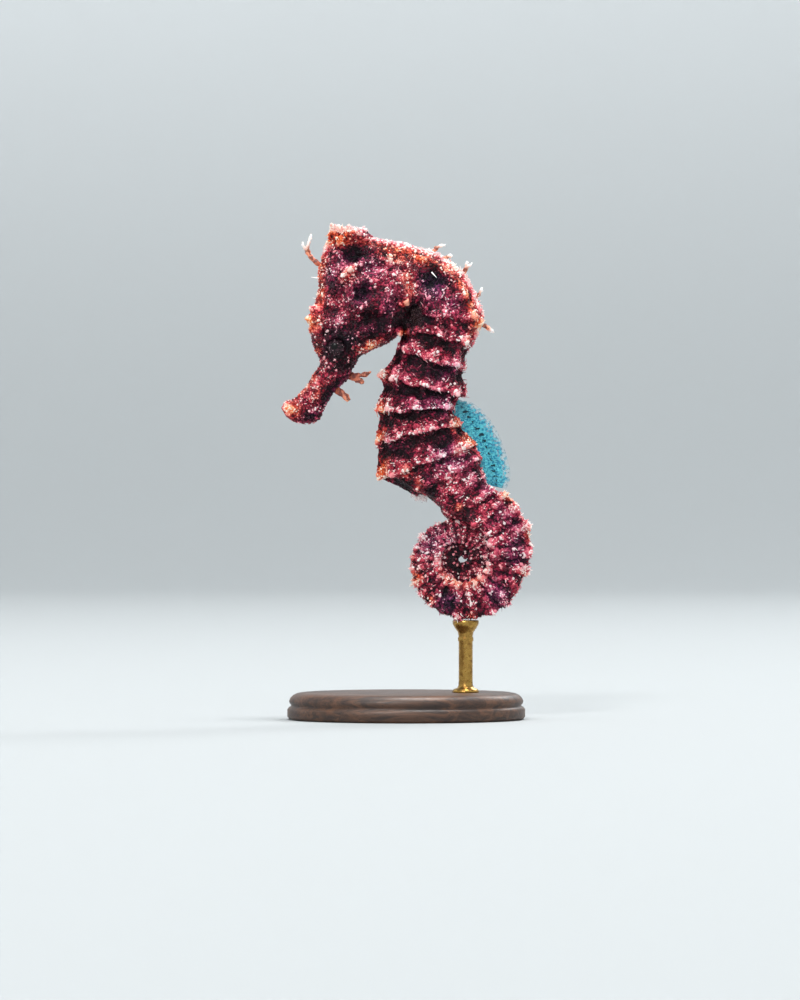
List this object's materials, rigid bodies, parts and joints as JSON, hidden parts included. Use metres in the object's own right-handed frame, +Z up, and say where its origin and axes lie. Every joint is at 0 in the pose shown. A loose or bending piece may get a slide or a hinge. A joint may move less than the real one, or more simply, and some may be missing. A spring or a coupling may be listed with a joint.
{
  "type": "seahorse display model",
  "caption": "Still life-size lined seahorse with a ringed body, coronet, skin fronds and coiled tail, held over an oval base by a short rod.",
  "frame": {"origin": "on the floor, under the middle of the whole model's box", "axes": "+Z up; the animal faces -X; its left side is -Y"},
  "size_m": [0.0466, 0.034, 0.0918],
  "materials": {
    "skin": "velvety maroon skin with pale pink beads",
    "coronet_skin": "pale orange and cream skin",
    "frond_skin": "thin pale pink skin",
    "fin": "thin, clear, speckled fin",
    "eye": "wet dark eye with pale flecks",
    "stand_wood": "satin dark walnut",
    "stand_brass": "satin brass"
  },
  "bodies": {
    "root": {"snout": "skin", "head": "skin", "neck": "skin", "trunk_upper": "skin", "trunk_lower": "skin", "tail_root": "skin", "tail_1": "skin", "tail_2": "skin", "tail_3": "skin", "tail_4": "skin", "tail_5": "skin", "tail_6": "skin", "tail_tip": "skin", "coronet": "coronet_skin", "eye_left": "eye", "eye_right": "eye", "dorsal_fin": "fin", "anal_fin": "fin", "pectoral_fin_left": "fin", "pectoral_fin_right": "fin", "frond_forehead": "frond_skin", "frond_chin_front": "frond_skin", "frond_chin_rear": "frond_skin", "frond_nape_front": "frond_skin", "frond_nape_rear": "frond_skin", "frond_back_1": "frond_skin", "frond_back_2": "frond_skin", "frond_back_3": "frond_skin", "stand_base": "stand_wood", "stand_rod": "stand_brass"}
  },
  "joints": []
}
